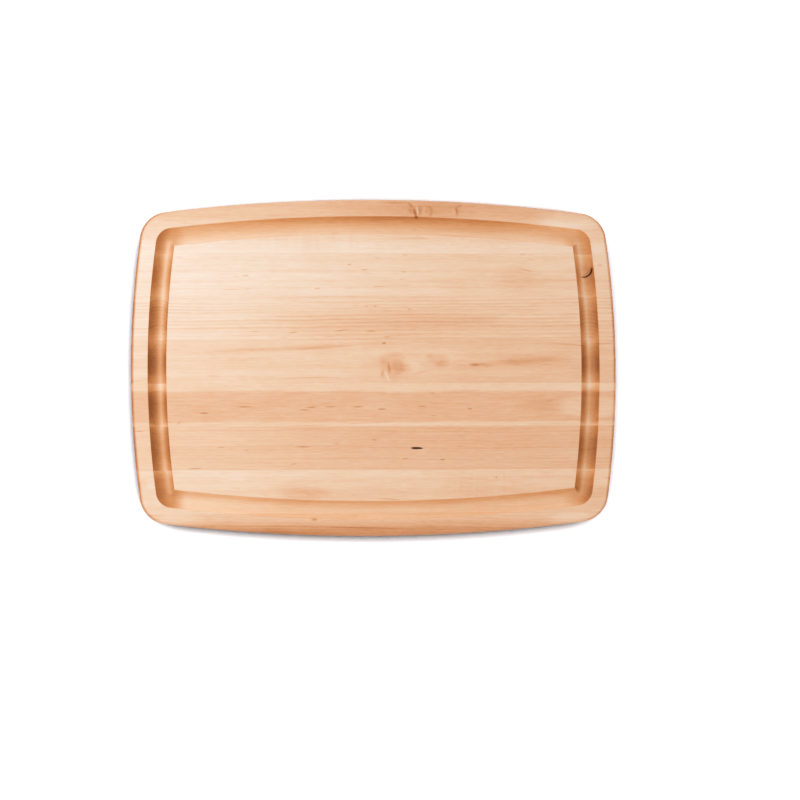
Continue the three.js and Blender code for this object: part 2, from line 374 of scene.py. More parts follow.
# Geometry Nodes: the section is run round the guide loop, the flats are filled, and the part between
# two glue lines is kept
def railTree():
    tree = bpy.data.node_groups.new("railOfTheBoard", "GeometryNodeTree")
    tree.interface.new_socket("Geometry", in_out="OUTPUT", socket_type="NodeSocketGeometry")
    tree.interface.new_socket("Guide Loop", in_out="INPUT", socket_type="NodeSocketGeometry")
    for name, kind in (("Section", "Object"), ("Crack", "Object"), ("Thickness", "Float"),
                       ("Groove Bend", "Float"), ("Front Line", "Float"), ("Back Line", "Float"),
                       ("Sharp Angle", "Float"), ("Finish", "Material")):
        tree.interface.new_socket(name, in_out="INPUT", socket_type="NodeSocket" + kind)
    given = tree.nodes.new("NodeGroupInput").outputs
    section = addNode(tree, "GeometryNodeObjectInfo", {"Object": given["Section"]}).outputs["Geometry"]
    rows = addNode(tree, "GeometryNodeAttributeDomainSize", {"Geometry": section})
    columns = addNode(tree, "GeometryNodeAttributeDomainSize", {"Geometry": given["Guide Loop"]})
    closing = addNode(tree, "ShaderNodeMath", {0: columns, 1: 1.0})
    grid = addNode(tree, "GeometryNodeMeshGrid", {"Vertices X": closing, "Vertices Y": rows})

    index = addNode(tree, "GeometryNodeInputIndex")
    row = addNode(tree, "ShaderNodeMath", {0: index, 1: rows}, operation="MODULO")
    strip = addNode(tree, "ShaderNodeMath", {0: index, 1: row}, operation="SUBTRACT")
    strip = addNode(tree, "ShaderNodeMath", {0: strip, 1: rows}, operation="DIVIDE")
    strip = addNode(tree, "ShaderNodeMath", {0: strip, 1: 0.5})
    strip = addNode(tree, "ShaderNodeMath", {0: strip}, operation="FLOOR")
    column = addNode(tree, "ShaderNodeMath", {0: strip, 1: columns}, operation="MODULO")

    # each point of the grid looks up its row in the section and its column in the guide loop
    position = addNode(tree, "GeometryNodeInputPosition")
    looked = {}
    for source, at, names in ((section, row, ("section", "isGroove")),
                              (given["Guide Loop"], column,
                               ("outline", "outlineOut", "groove", "grooveOut", "grooveIn"))):
        for name in names:
            kind = "FLOAT" if name == "isGroove" else "FLOAT_VECTOR"
            value = position
            if name != names[0]:
                value = addNode(tree, "GeometryNodeInputNamedAttribute", {"Name": name}, data_type=kind)
            looked[name] = addNode(tree, "GeometryNodeSampleIndex",
                                   {"Geometry": source, "Value": value, "Index": at},
                                   data_type=kind, domain="POINT")
    parts =addNode(tree, "ShaderNodeSeparateXYZ", {0: looked["section"]})
    bendIn = addNode(tree, "ShaderNodeMath", {0: given["Groove Bend"], 1: -1.0}, operation="MULTIPLY")
    outside = addNode(tree, "ShaderNodeMath", {0: parts.outputs["X"], 1: bendIn}, operation="MAXIMUM")
    inside = addNode(tree, "ShaderNodeMath", {0: parts.outputs["X"], 1: outside}, operation="SUBTRACT")
    onOutline = addNode(tree, "ShaderNodeVectorMath",
                        {0: looked["outlineOut"], 1: parts.outputs["X"], 2: looked["outline"]},
                        operation="MULTIPLY_ADD")
    onGroove = looked["groove"]
    for way, distance in (("grooveOut", outside), ("grooveIn", inside)):
        onGroove = addNode(tree, "ShaderNodeVectorMath", {0: looked[way], 1: distance, 2: onGroove},
                           operation="MULTIPLY_ADD")
    plan = addNode(tree, "ShaderNodeMix", {0: looked["isGroove"], 4: onOutline, 5: onGroove},
                   data_type="VECTOR")
    lift = addNode(tree, "ShaderNodeCombineXYZ", {"Z": parts.outputs["Z"]})
    place = addNode(tree, "ShaderNodeVectorMath", {0: plan, 1: lift})
    skin = addNode(tree, "GeometryNodeSetPosition", {"Geometry": grid.outputs["Mesh"], "Position": place})
    skin = addNode(tree, "GeometryNodeMergeByDistance", {"Geometry": skin, "Distance": board["weld"] * mm})

    # the open rims above and below mid thickness are filled as the cutting face and the underside
    neighbours = addNode(tree, "GeometryNodeInputMeshEdgeNeighbors")
    isRim = addNode(tree, "FunctionNodeCompare", {2: neighbours, 3: 1}, data_type="INT", operation="EQUAL")
    height = addNode(tree, "ShaderNodeSeparateXYZ", {0: position}).outputs["Z"]
    middle = addNode(tree, "ShaderNodeMath", {0: given["Thickness"], 1: 0.5}, operation="MULTIPLY")
    whole = addNode(tree, "GeometryNodeJoinGeometry", {0: skin})
    for side in ("GREATER_THAN", "LESS_THAN"):
        onSide = addNode(tree, "FunctionNodeCompare", {0: height, 1: middle}, data_type="FLOAT",
                         operation=side)
        rim = addNode(tree, "FunctionNodeBooleanMath", {0: isRim, 1: onSide}, operation="AND")
        ring = addNode(tree, "GeometryNodeMeshToCurve", {"Mesh": skin, "Selection": rim})
        flat = addNode(tree, "GeometryNodeFillCurve", {"Curve": ring}, mode="NGONS")
        if side == "GREATER_THAN":
            up = addNode(tree, "ShaderNodeCombineXYZ", {"Z": given["Thickness"]})
            flat = addNode(tree, "GeometryNodeTransform", {"Geometry": flat, "Translation": up})
        else:
            flat = addNode(tree, "GeometryNodeFlipFaces", {"Mesh": flat})
        tree.links.new(flat.outputs[0], whole.inputs[0])
    closed = addNode(tree, "GeometryNodeMergeByDistance",
                     {"Geometry": whole, "Distance": board["weld"] * mm})

    # the rail is what lies in a slab between its two glue lines, less the crack where it has one
    slabLength, slabHeight = 1.0, 0.5  # metres, well past the board
    wide = addNode(tree, "ShaderNodeMath", {0: given["Back Line"], 1: given["Front Line"]},
                   operation="SUBTRACT")
    centre = addNode(tree, "ShaderNodeMath", {0: wide, 1: 0.5, 2: given["Front Line"]},
                     operation="MULTIPLY_ADD")
    size = addNode(tree, "ShaderNodeCombineXYZ", {"X": slabLength, "Y": wide, "Z": slabHeight})
    shift = addNode(tree, "ShaderNodeCombineXYZ", {"Y": centre})
    slab = addNode(tree, "GeometryNodeMeshCube", {"Size": size})
    slab = addNode(tree, "GeometryNodeTransform", {"Geometry": slab, "Translation": shift})
    rail = addNode(tree, "GeometryNodeMeshBoolean", {"Mesh 2": slab}, operation="INTERSECT",
                   solver="MANIFOLD")
    tree.links.new(closed.outputs[0], rail.inputs["Mesh 2"])
    crack = addNode(tree, "GeometryNodeObjectInfo", {"Object": given["Crack"]}).outputs["Geometry"]
    rail = addNode(tree, "GeometryNodeMeshBoolean", {"Mesh 1": rail, "Mesh 2": crack},
                   operation="DIFFERENCE", solver="MANIFOLD")

    angle = addNode(tree, "GeometryNodeInputMeshEdgeAngle")
    soft = addNode(tree, "FunctionNodeCompare", {0: angle, 1: given["Sharp Angle"]}, data_type="FLOAT",
                   operation="LESS_THAN")
    shaded = rail
    for domain, smooth in (("FACE", True), ("EDGE", soft)):
        shaded = addNode(tree, "GeometryNodeSetShadeSmooth", {"Geometry": shaded, "Shade Smooth": smooth},
                         domain=domain)
    real = addNode(tree, "GeometryNodeRealizeInstances", {"Geometry": shaded})
    finished = addNode(tree, "GeometryNodeSetMaterial", {"Geometry": real, "Material": given["Finish"]})
    addNode(tree, "NodeGroupOutput", {0: finished})
    return tree


# Maple finish

# Colours of hard maple against depth of colour: cream sapwood, long grain, oiled end grain, mineral stain
mapleDepths = (
    (0.00, "#faecde"),
    (0.18, "#f4dbc5"),
    (0.36, "#eec8a6"),
    (0.52, "#e7b28a"),
    (0.68, "#da9b6c"),
    (0.84, "#c77f4c"),
    (1.00, "#a75f32"),
    (1.40, "#33190e"),
)

# The same where the router has cut, more orange: partly the oil that the cut wood takes, and partly painted
# warm light that bounces about inside the groove
routedOilAndBounceDepths = (
    (0.00, "#fcecd4"),
    (0.18, "#fadbbc"),
    (0.36, "#f4c89f"),
    (0.52, "#ebb281"),
    (0.68, "#de9b61"),
    (0.84, "#c87f43"),
    (1.00, "#a45f28"),
    (1.40, "#33190e"),
)

# tone is the depth of colour at the left end and the right, and where along the board the latter is reached.
# Its deepening to the right is partly the wood's own and partly painted shade, for light that falls off to
# the right.
# lines, bands, clouds and flecks are the depths of the figure. slope is the rings' slope along the rail, pith
# their centre, across from the rail's middle and up from the underside, and pitch the width of a ring, in mm.
# edges are further steps in depth towards the board's long edge: where one starts and is full, and what it
# adds. endGrain is the depth at both ends. leftRun and rightRun are the depths where the groove crosses the
# rail: its floor beside the joints and in mid rail, its walls beside the joints and in mid rail, and then the
# lean of the surface at which it is palest, which paints the run's pale strip off the floor's middle and one
# wall deeper than the other, as painted light and shade. longRun is what the groove adds where it follows the
# fibres: on the wall that faces the front, the floor, and the wall that faces the back, where the walls'
# difference is painted shade, deepest on the wall that faces the front. curl is a stretch of ripples: its
# middle, half length and half width, and the ripples' pitch and depth. A mark is its place on the board,
# length, width, turn in degrees, the depth that it adds, and how much of it is solid before its edge fades.
rails = {
    "back_edge_rail": {
        "slot": "maple_pale", "tone": (0.12, 0.27, 200), "pith": (-150, 10), "pitch": 3.4, "slope": 0.004,
        "lines": 0.03, "bands": 0.03, "clouds": 0.02, "flecks": 0.06, "endGrain": (0.86, 0.78),
        "edges": ((127, 136, 0.11), (146, 160, 0.17)),
        "leftRun": (0.15, 0.30, 0.80, 0.92, -0.32), "rightRun": (0.25, 0.40, 0.80, 0.80, 0.28),
        "longRun": (0.34, 0.18, -0.07),
        "curl": (-64, 130, 66, 12, 4.8, 0.02),
        "marks": (
            (37.4, 170, 10, 4.4, -46, 0.22, 0.1),   # a branch's scar runs out through the rim
            (42.3, 162.3, 16, 5, -68, 0.36, 0.1),
            (44.2, 157.6, 6, 5, 0, 0.24, 0.1),
            (37.5, 164.5, 13, 6, -66, 0.13, 0),
            (44.6, 163.8, 13, 2.2, -76, -0.20, 0.2),
            (47.4, 164.5, 16, 5, -88, 0.16, 0.1),
            (51.5, 164.5, 14, 3, -90, -0.07, 0.2),
            (58.4, 167, 9, 5, -50, 0.11, 0.1),
            (59, 160.8, 11, 5, 72, 0.11, 0.1),
            (58, 164, 26, 16, 0, 0.05, 0),
            (86.6, 164, 15, 4.4, -90, 0.22, 0.1),
            (89.4, 169.6, 7, 4, 20, 0.14, 0.1),
            (83, 164, 13, 4, -90, -0.06, 0),
            (41, 147, 10, 9, 0, 0.22, 0.2),
            (87, 151, 10, 7, 90, 0.14, 0.1),
            (54, 166, 96, 30, 0, 0.03, 0.4),
            (205, 155, 90, 30, 0, -0.14, 0.3),
            (35, 166, 250, 34, 0, 0.10, 0),
            (20, 173, 44, 5, 0, 0.12, 0.2),
            (175, 142, 130, 30, 0, -0.10, 0.2),
            (-41.2, 141.4, 14, 2, 3, 0.20, 0.3),
            (-74.7, 146.1, 8, 1.6, 0, 0.26, 0.3),
            (84, 137.9, 48, 2.2, -1, 0.14, 0.3),
            (50, 135.6, 14, 1.4, -3, 0.16, 0.3),
            (30, 134.8, 64, 6, 2, 0.08, 0),
            (72, 129.4, 3, 2, 0, 0.14, 0.3),
            (80.5, 129.4, 3, 2, 0, 0.14, 0.3),
        ),
    },
    "field_rail_1": {
        "slot": "maple_cream", "tone": (0.13, 0.36, 180), "pith": (25, -70), "pitch": 3.0, "slope": -0.006,
        "lines": 0.06, "bands": 0.03, "clouds": 0.03, "flecks": 0.12, "endGrain": (0.88, 0.79),
        "leftRun": (0.08, 0.22, 0.76, 0.95, -0.30), "rightRun": (0.08, 0.33, 0.70, 0.91, 0.26),
        "marks": (
            (32.1, 117.9, 8, 1.9, 0, 0.24, 0.3),
            (156.8, 118.6, 9, 1.6, 0, 0.22, 0.3),
            (-134.4, 95.9, 10, 1.6, 1, 0.38, 0.3),
            (-143, 94.5, 7, 1.2, 0, 0.16, 0.2),
            (-148, 81.3, 30, 1.5, 1, 0.20, 0.3),
            (-133, 81.9, 12, 1.3, 0, 0.20, 0.3),
            (-115.5, 96, 6, 1.4, 0, 0.14, 0.2),
            (-112, 93.5, 7, 1.4, 0, 0.10, 0.2),
            (-27.5, 107.6, 7, 2.2, 0, 0.24, 0.3),
            (-10.8, 102.3, 9, 2.2, 0, 0.22, 0.3),
            (2.3, 114.7, 8, 2.4, -8, 0.14, 0.2),
            (-5, 98.5, 20, 1.4, -5, 0.10, 0.2),
            (31, 100, 8, 2, 0, 0.22, 0.3),
            (28.5, 92.5, 7, 1.5, 0, 0.14, 0.2),
            (-60.5, 82.3, 10, 2, 3, 0.22, 0.3),
            (-26, 83, 16, 1.4, 0, 0.13, 0.2),
            (4, 84.7, 18, 1.3, -1, 0.20, 0.3),
            (159.8, 101.7, 20, 1.7, -9, 0.16, 0.3),
            (164.3, 113.6, 12, 2.6, -8, 0.10, 0.2),
            (153.4, 94, 70, 36, 0, 0.06, 0.2),
            (-77, 101, 112, 8, 1, 0.05, 0.1),
            (238.5, 107.5, 9, 7, 0, 0.14, 0),
        ),
    },
    "field_rail_2": {
        "slot": "maple_honey", "tone": (0.16, 0.37, 60), "pith": (-90, -13), "pitch": 3.5, "slope": -0.010,
        "lines": 0.14, "bands": 0.03, "clouds": 0.02, "flecks": 0.06, "endGrain": (0.93, 0.84),
        "leftRun": (0.06, 0.36, 0.79, 0.98, -0.34), "rightRun": (0.05, 0.36, 0.75, 0.96, 0.17),
        "marks": (
            (-126, 37.2, 16, 1.5, 0, 0.22, 0.3),
            (-86, 36.3, 14, 1.8, 5, 0.26, 0.3),
            (-95, 30.5, 14, 1.8, 2, 0.14, 0.3),
            (-34.5, 38.6, 22, 2.2, 7, 0.20, 0.3),
            (-48, 32.6, 14, 1.5, -3, 0.12, 0.2),
            (-4, 37.6, 15, 2.2, -4, 0.20, 0.3),
            (13, 31.5, 9, 2, 0, 0.22, 0.3),
            (20, 33, 46, 1.5, 2, 0.10, 0.2),
            (0.5, 63.5, 4, 1.8, 0, 0.30, 0.3),
            (-9, 63.5, 6, 2.2, 0, 0.16, 0.2),
            (36, 60.8, 5, 1.8, 0, 0.22, 0.3),
            (33, 26.3, 150, 1.6, 0, 0.14, 0.3),
            (210, 27.5, 60, 2, -3, 0.18, 0.3),
            (40, 48, 330, 30, 0, 0.07, 0.2),
        ),
    },
    "field_rail_3": {
        "slot": "maple_pale", "tone": (0.26, 0.44, 160), "pith": (-6, -34), "pitch": 3.4, "slope": -0.012,
        "lines": 0.05, "bands": 0.03, "clouds": 0.04, "flecks": 0.06, "endGrain": (0.91, 0.84),
        "leftRun": (0.27, 0.54, 0.79, 1.08, -0.32), "rightRun": (0.10, 0.44, 0.80, 1.07, 0.10),
        "marks": (
            (-104, 19, 270, 7.5, 3, 0.11, 0.2),    # long heartwood streak
            (-50, 21.4, 100, 3.4, 3.2, 0.10, 0.2),
            (9.5, 25.3, 6, 2.4, 0, 0.34, 0.3),
            (-168, -9, 16, 2.6, 0, 0.08, 0.2),
            (-71, -11, 84, 2, 1, 0.14, 0.3),
            (19, 2, 38, 40, 0, 0.09, 0.4),         # fiddle figure, where the fibres dip
            (14.4, -1, 18, 4.5, -82, 0.20, 0.3),
            (24, -0.5, 18, 20, 0, 0.09, 0.5),
            (7.6, -6.5, 11, 4.5, 86, 0.17, 0.3),
            (12.8, -10, 16, 3, -66, -0.17, 0.3),
            (9, 6, 12, 12, 0, 0.06, 0.2),
            (42, 1.5, 18, 14, 0, -0.07, 0.3),
            (66, 8, 32, 22, 0, 0.10, 0.2),
            (57.5, 13, 12, 9, 0, 0.06, 0.4),
            (70, 3.5, 24, 9, 4, 0.10, 0.2),
            (48, -5.5, 28, 1.8, 13, 0.10, 0.3),
            (103, 2.4, 15, 4.5, -4, 0.20, 0.3),
            (112, 2.2, 34, 6, -3, 0.15, 0.2),
            (150, 6, 110, 9, 3, 0.11, 0.2),
            (165, 8, 130, 16, 0, 0.09, 0.3),
            (210, 23, 70, 2.4, -4, 0.14, 0.3),
            (240, 24.4, 34, 1.6, 0, 0.16, 0.3),
        ),
    },
    "field_rail_4": {
        "slot": "maple_rose", "tone": (0.46, 0.52, 200), "pith": (4, -80), "pitch": 3.2, "slope": -0.004,
        "lines": 0.04, "bands": 0.02, "clouds": 0.02, "flecks": 0.12, "endGrain": (0.88, 0.76),
        "leftRun": (0.14, 0.48, 0.82, 1.08, -0.32), "rightRun": (0.08, 0.56, 0.74, 1.06, 0.08),
        "marks": (
            (0, -20, 2000, 14, 0, -0.16, 0.5),     # paler beside both joints
            (0, -60.5, 2000, 9, 0, -0.14, 0.4),
            (226, -42, 80, 30, 0, -0.10, 0.6),
            (170, -40, 70, 26, 0, 0.06, 0),
            (-180, -44, 40, 14, 0, 0.04, 0),
            (-178, -47.6, 12, 1.7, 0, 0.34, 0.3),
            (-137, -41.3, 24, 1.7, 0, 0.30, 0.3),
            (-74, -44.5, 15, 1.8, 0, 0.34, 0.3),
            (-66.5, -41.5, 16, 1.7, 0, 0.32, 0.3),
            (-46.5, -41.3, 17, 1.6, 0, 0.26, 0.3),
            (-19, -41.3, 18, 1.7, 0, 0.32, 0.3),
            (6.5, -44, 12, 1.8, 0, 0.34, 0.3),
            (48.9, -41.3, 12, 1.5, 0, 0.26, 0.3),
            (60.4, -50.7, 8, 1.5, 0, 0.18, 0.2),
            (99.2, -43.8, 7, 2.6, 0, 0.26, 0.2),
            (60, -27.5, 10, 1.8, 8, 0.18, 0.2),
            (-204, -57.5, 9, 2, 20, 0.18, 0.2),
            (-10, -58.2, 66, 1.6, 2.5, 0.20, 0.3),
            (-70, -60.7, 70, 1.4, 1, 0.14, 0.3),
        ),
    },
    "field_rail_5": {
        "slot": "maple_honey", "tone": (0.34, 0.49, 40), "pith": (100, -2), "pitch": 3.0, "slope": 0.003,
        "lines": 0.07, "bands": 0.025, "clouds": 0.02, "flecks": 0.12, "endGrain": (0.94, 0.84),
        "leftRun": (0.24, 0.50, 0.91, 1.01, -0.24), "rightRun": (0.24, 0.58, 0.84, 1.01, 0.12),
        "marks": (
            (43.2, -84.7, 15, 3.1, -2, 1.10, 0.6),   # mineral stain
            (-160.5, -83.2, 12, 1.7, 0, 0.20, 0.3),
            (-74.7, -83.2, 18, 1.8, 0, 0.24, 0.3),
            (-40, -80, 10, 1.5, 0, 0.16, 0.3),
            (-134, -86.5, 6, 1.5, 0, 0.16, 0.3),
            (-1.4, -75.9, 8, 1.7, -10, 0.20, 0.3),
            (-85.1, -101, 11, 1.7, 0, 0.18, 0.3),
            (-187.8, -105.2, 18, 1.5, 0, 0.28, 0.3),
            (31.1, -95.8, 9, 1.7, 0, 0.22, 0.3),
            (70.9, -96.8, 7, 1.8, 0, 0.28, 0.3),
            (-71, -64.4, 96, 1.5, 0, 0.12, 0.3),
            (-244.3, -66.4, 11, 1.6, 0, 0.24, 0.3),
        ),
    },
    "field_rail_6": {
        "slot": "maple_cream", "tone": (0.22, 0.36, 140), "pith": (-20, 120), "pitch": 3.6, "slope": -0.008,
        "lines": 0.03, "bands": 0.03, "clouds": 0.035, "flecks": 0.06, "endGrain": (0.82, 0.75),
        "edges": ((118, 134, 0.08),),
        "leftRun": (0.26, 0.49, 0.66, 0.91, -0.42), "rightRun": (0.16, 0.51, 0.67, 0.95, 0.08),
        "longRun": (0.20, -0.05, -0.10),
        "curl": (130, -124, 90, 15, 4.4, 0.012),
        "marks": (
            (-77, -128, 90, 30, 0, 0.11, 0.1),
            (-68, -130, 50, 16, 0, 0.05, 0.1),
            (-243, -122.5, 20, 20, 0, 0.08, 0.2),
            (126.5, -116, 3, 4, 0, 0.20, 0.2),
            (14, -137.8, 34, 1.5, -3, 0.20, 0.3),
            (247, -116.7, 18, 1.5, 0, 0.18, 0.3),
        ),
    },
    "front_edge_rail": {
        "slot": "maple_amber", "tone": (0.42, 0.44, 100), "pith": (60, 25), "pitch": 3.1, "slope": 0.012,
        "lines": 0.05, "bands": 0.03, "clouds": 0.03, "flecks": 0.06, "endGrain": (0.84, 0.78),
        "edges": ((158, 171, 0.30),),              # heartwood
        "leftRun": (0.26, 0.49, 0.66, 0.91, -0.42), "rightRun": (0.16, 0.51, 0.67, 0.95, 0.08),
        "longRun": (0.06, -0.07, -0.05),
        "marks": (
            (-110, -176, 180, 22, 0, 0.07, 0.3),
            (-205, -158, 70, 26, 0, -0.12, 0.2),
            (205, -158, 70, 26, 0, -0.12, 0.2),
            (-15, -167.5, 150, 2.2, -1.5, 0.16, 0.3),
            (-110, -165.5, 150, 1.8, 0, 0.12, 0.3),
            (-64.2, -158.6, 9, 4.6, 0, 0.28, 0.1),
            (-23.4, -154.8, 16, 4.5, -6, 0.24, 0.1),
        ),
    },
}


def drawnOut(tree, place, along, wide):
    return addNode(tree, "ShaderNodeVectorMath", {0: place, 1: (1 / along, 1 / wide, 1 / wide)},
                   operation="MULTIPLY")


def grainNoise(tree, place, along, wide, detail):
    return addNode(tree, "ShaderNodeTexNoise",
                   {"Vector": drawnOut(tree, place, along, wide), "Scale": 1, "Detail": detail})


# A part of a ring starts and is full at shares of the ring's width, counted from the pith outwards
ringShape = {
    "wander": (240, 60),    # length along the grain and width across it, in mm
    "wanderReach": 4.4,     # mm to both sides, at most
    "uneven": 0.9,          # how much the rings' widths change, in rings
    "unevenScale": 0.4,     # and how often, for each ring
    "lateWood": (0.15, 0.95),
    "lateDepth": 0.45,
    "lastLine": (0.72, 0.90),
    "lineDepth": 0.55,
    "lineFade": 0.12,       # share of the next ring that the line fades over
    "stretch": 150,         # mm along the rail over which a ring gets stronger or weaker
    "stretchScale": 0.9,
    "swing": (0.35, 0.65),  # what that noise mostly stays between
    "strength": (0.35, 1.15),
}


# Growth rings round the pith, wandering along the rail: each deepens slowly and ends in a thin dark line
def growthRings(tree, rail, place, own, seed, middleY):
    reach = ringShape["wanderReach"]
    wander = grainNoise(tree, own, *ringShape["wander"], 2)
    wander = addNode(tree, "ShaderNodeMapRange", {"Value": wander, "To Min": -reach, "To Max": reach})
    across = addNode(tree, "ShaderNodeVectorMath", {0: place, 1: (rail["slope"], 1, 0)},
                     operation="DOT_PRODUCT")
    across = addNode(tree, "ShaderNodeMath", {0: across.outputs["Value"], 1: wander})
    axes = addNode(tree, "ShaderNodeSeparateXYZ", {0: place})
    fromPith = addNode(tree, "ShaderNodeCombineXYZ", {"X": across, "Y": axes.outputs["Z"]})
    pith = (middleY + rail["pith"][0], rail["pith"][1], 0)
    fromPith = addNode(tree, "ShaderNodeVectorMath", {0: fromPith, 1: pith}, operation="DISTANCE")
    rings = addNode(tree, "ShaderNodeMath", {0: fromPith.outputs["Value"], 1: rail["pitch"]},
                    operation="DIVIDE")
    uneven = addNode(tree, "ShaderNodeTexNoise",
                     {"W": rings, "Scale": ringShape["unevenScale"], "Detail": 1}, noise_dimensions="1D")
    rings = addNode(tree, "ShaderNodeMath", {0: uneven, 1: ringShape["uneven"], 2: rings},
                    operation="MULTIPLY_ADD")
    inRing = addNode(tree, "ShaderNodeMath", {0: rings}, operation="FRACT")
    parts = []
    for (start, full), depth in ((ringShape["lateWood"], ringShape["lateDepth"]),
                                 (ringShape["lastLine"], ringShape["lineDepth"]),
                                 ((ringShape["lineFade"], 0.0), 1.0)):
        parts.append(addNode(tree, "ShaderNodeMapRange", {"Value": inRing, "From Min": start,
                                                          "From Max": full, "To Max": depth},
                             interpolation_type="SMOOTHSTEP"))
    ring = addNode(tree, "ShaderNodeMath", {0: parts[0], 1: parts[1]})
    ring = addNode(tree, "ShaderNodeMath", {0: ring, 1: parts[2]}, operation="MAXIMUM")
    ringNumber = addNode(tree, "ShaderNodeMath", {0: rings}, operation="FLOOR")
    alongX = addNode(tree, "ShaderNodeMath", {0: axes.outputs["X"], 1: 1 / ringShape["stretch"]},
                     operation="MULTIPLY")
    spot = addNode(tree, "ShaderNodeCombineXYZ", {"X": alongX, "Y": ringNumber, "Z": seed})
    strength = addNode(tree, "ShaderNodeTexNoise",
                       {"Vector": spot, "Scale": ringShape["stretchScale"], "Detail": 1})
    low, high = ringShape["swing"]
    weakest, strongest = ringShape["strength"]
    strength = addNode(tree, "ShaderNodeMapRange", {"Value": strength, "From Min": low, "From Max": high,
                                                    "To Min": weakest, "To Max": strongest})
    return addNode(tree, "ShaderNodeMath", {0: ring, 1: strength}, operation="MULTIPLY")


markShape = {
    "small": (20, 6, 5, 1.2),   # sizes of the noise that bends a mark, and its reach along and across
    "large": (55, 12, 14, 5),
    "largeFrom": 7,             # mm wide
    "down": 8,                  # how far a mark goes down into the wood, at least
}


# Growth marks: soft edged ellipses, a little out of true
def growthMarks(tree, rail, place, own):
    bent = {}
    for size in ("small", "large"):
        along, wide, reachX, reachY = markShape[size]
        noise = grainNoise(tree, own, along, wide, 3)
        sway = addNode(tree, "ShaderNodeVectorMath", {0: noise.outputs["Color"], 1: (0.5, 0.5, 0.5)},
                       operation="SUBTRACT")
        bent[size] = addNode(tree, "ShaderNodeVectorMath", {0: sway, 1: (reachX, reachY, 0), 2: place},
                             operation="MULTIPLY_ADD")
    total = None
    for x, y, length, width, turn, added, solid in rail["marks"]:
        size = "large" if width > markShape["largeFrom"] else "small"
        down = max(markShape["down"], width)
        mark = addNode(tree, "ShaderNodeMapping",
                       {"Vector": bent[size], "Location": (x, y, board["thickness"]),
                        "Rotation": (0, 0, math.radians(turn)), "Scale": (length / 2, width / 2, down)},
                       vector_type="TEXTURE")
        mark = addNode(tree, "ShaderNodeVectorMath", {0: mark}, operation="LENGTH")
        mark = addNode(tree, "ShaderNodeMapRange", {"Value": mark.outputs["Value"], "From Min": 1.0,
                                                    "From Max": solid, "To Max": added},
                       interpolation_type="SMOOTHSTEP")
        total = addNode(tree, "ShaderNodeMath", {0: mark, 1: total}) if total else mark
    return total


curlShape = {
    "down": 20,             # mm that it goes down into the wood
    "fade": (1.2, 0.5),     # shares of its half size between which it fades in
    "rippleWidth": 40,      # mm across the grain
    "swing": (0.35, 0.65),
}


# Curly figure: faint ripples across the grain inside one stretch of a rail
def curlFigure(tree, rail, place):
    x, y, halfLength, halfWidth, pitch, strength = rail["curl"]
    inside = addNode(tree, "ShaderNodeMapping",
                     {"Vector": place, "Location": (x, y, board["thickness"]),
                      "Scale": (halfLength, halfWidth, curlShape["down"])}, vector_type="TEXTURE")
    inside = addNode(tree, "ShaderNodeVectorMath", {0: inside}, operation="LENGTH")
    start, full = curlShape["fade"]
    inside = addNode(tree, "ShaderNodeMapRange", {"Value": inside.outputs["Value"], "From Min": start,
                                                  "From Max": full, "To Max": strength},
                     interpolation_type="SMOOTHSTEP")
    ripple = grainNoise(tree, place, pitch, curlShape["rippleWidth"], 1)
    low, high = curlShape["swing"]
    ripple = addNode(tree, "ShaderNodeMapRange", {"Value": ripple, "From Min": low, "From Max": high,
                                                  "To Min": -1.0}, clamp=False)
    return addNode(tree, "ShaderNodeMath", {0: ripple, 1: inside}, operation="MULTIPLY")


# Brown rings inside the crack's curve, and the dark bark along it
def barkRings(tree, place):
    x, y = barkCrack["at"]
    radius = barkCrack["radius"]
    away = addNode(tree, "ShaderNodeVectorMath", {0: place, 1: (-x, -y, 0)})
    away = addNode(tree, "ShaderNodeVectorMath", {0: away, 1: (1, 1, 0)}, operation="MULTIPLY")
    reach = addNode(tree, "ShaderNodeVectorMath", {0: away}, operation="LENGTH").outputs["Value"]
    heading = addNode(tree, "ShaderNodeVectorMath", {0: away}, operation="NORMALIZE")
    middle = math.radians((barkCrack["from"] + barkCrack["to"]) / 2 + barkCrack["sideTurn"])
    heading = addNode(tree, "ShaderNodeVectorMath", {0: heading, 1: (math.cos(middle), math.sin(middle), 0)},
                      operation="DOT_PRODUCT")
    offLine = addNode(tree, "ShaderNodeMath", {0: reach, 1: radius}, operation="SUBTRACT")
    offLine = addNode(tree, "ShaderNodeMath", {0: offLine}, operation="ABSOLUTE")
    parts = []
    for value, (start, full), depth in (
            (heading.outputs["Value"], barkCrack["side"], 1.0),
            (reach, (barkCrack["brownFrom"] * radius, radius), barkCrack["brownDepth"]),
            (reach, (radius + barkCrack["brownFade"], radius), 1.0),
            (offLine, barkCrack["bark"], barkCrack["barkDepth"])):
        parts.append(addNode(tree, "ShaderNodeMapRange", {"Value": value, "From Min": start,
                                                          "From Max": full, "To Max": depth},
                             interpolation_type="SMOOTHSTEP"))
    facing, brown, fade, bark = parts
    ripple = addNode(tree, "ShaderNodeMath", {0: reach, 1: barkCrack["ripples"]}, operation="MULTIPLY")
    ripple = addNode(tree, "ShaderNodeMath", {0: ripple}, operation="SINE")
    brown = addNode(tree, "ShaderNodeMath", {0: ripple, 1: barkCrack["rippleDepth"], 2: brown},
                    operation="MULTIPLY_ADD")
    brown = addNode(tree, "ShaderNodeMath", {0: brown, 1: fade}, operation="MULTIPLY")
    both = addNode(tree, "ShaderNodeMath", {0: brown, 1: bark})
    return addNode(tree, "ShaderNodeMath", {0: both, 1: facing}, operation="MULTIPLY")


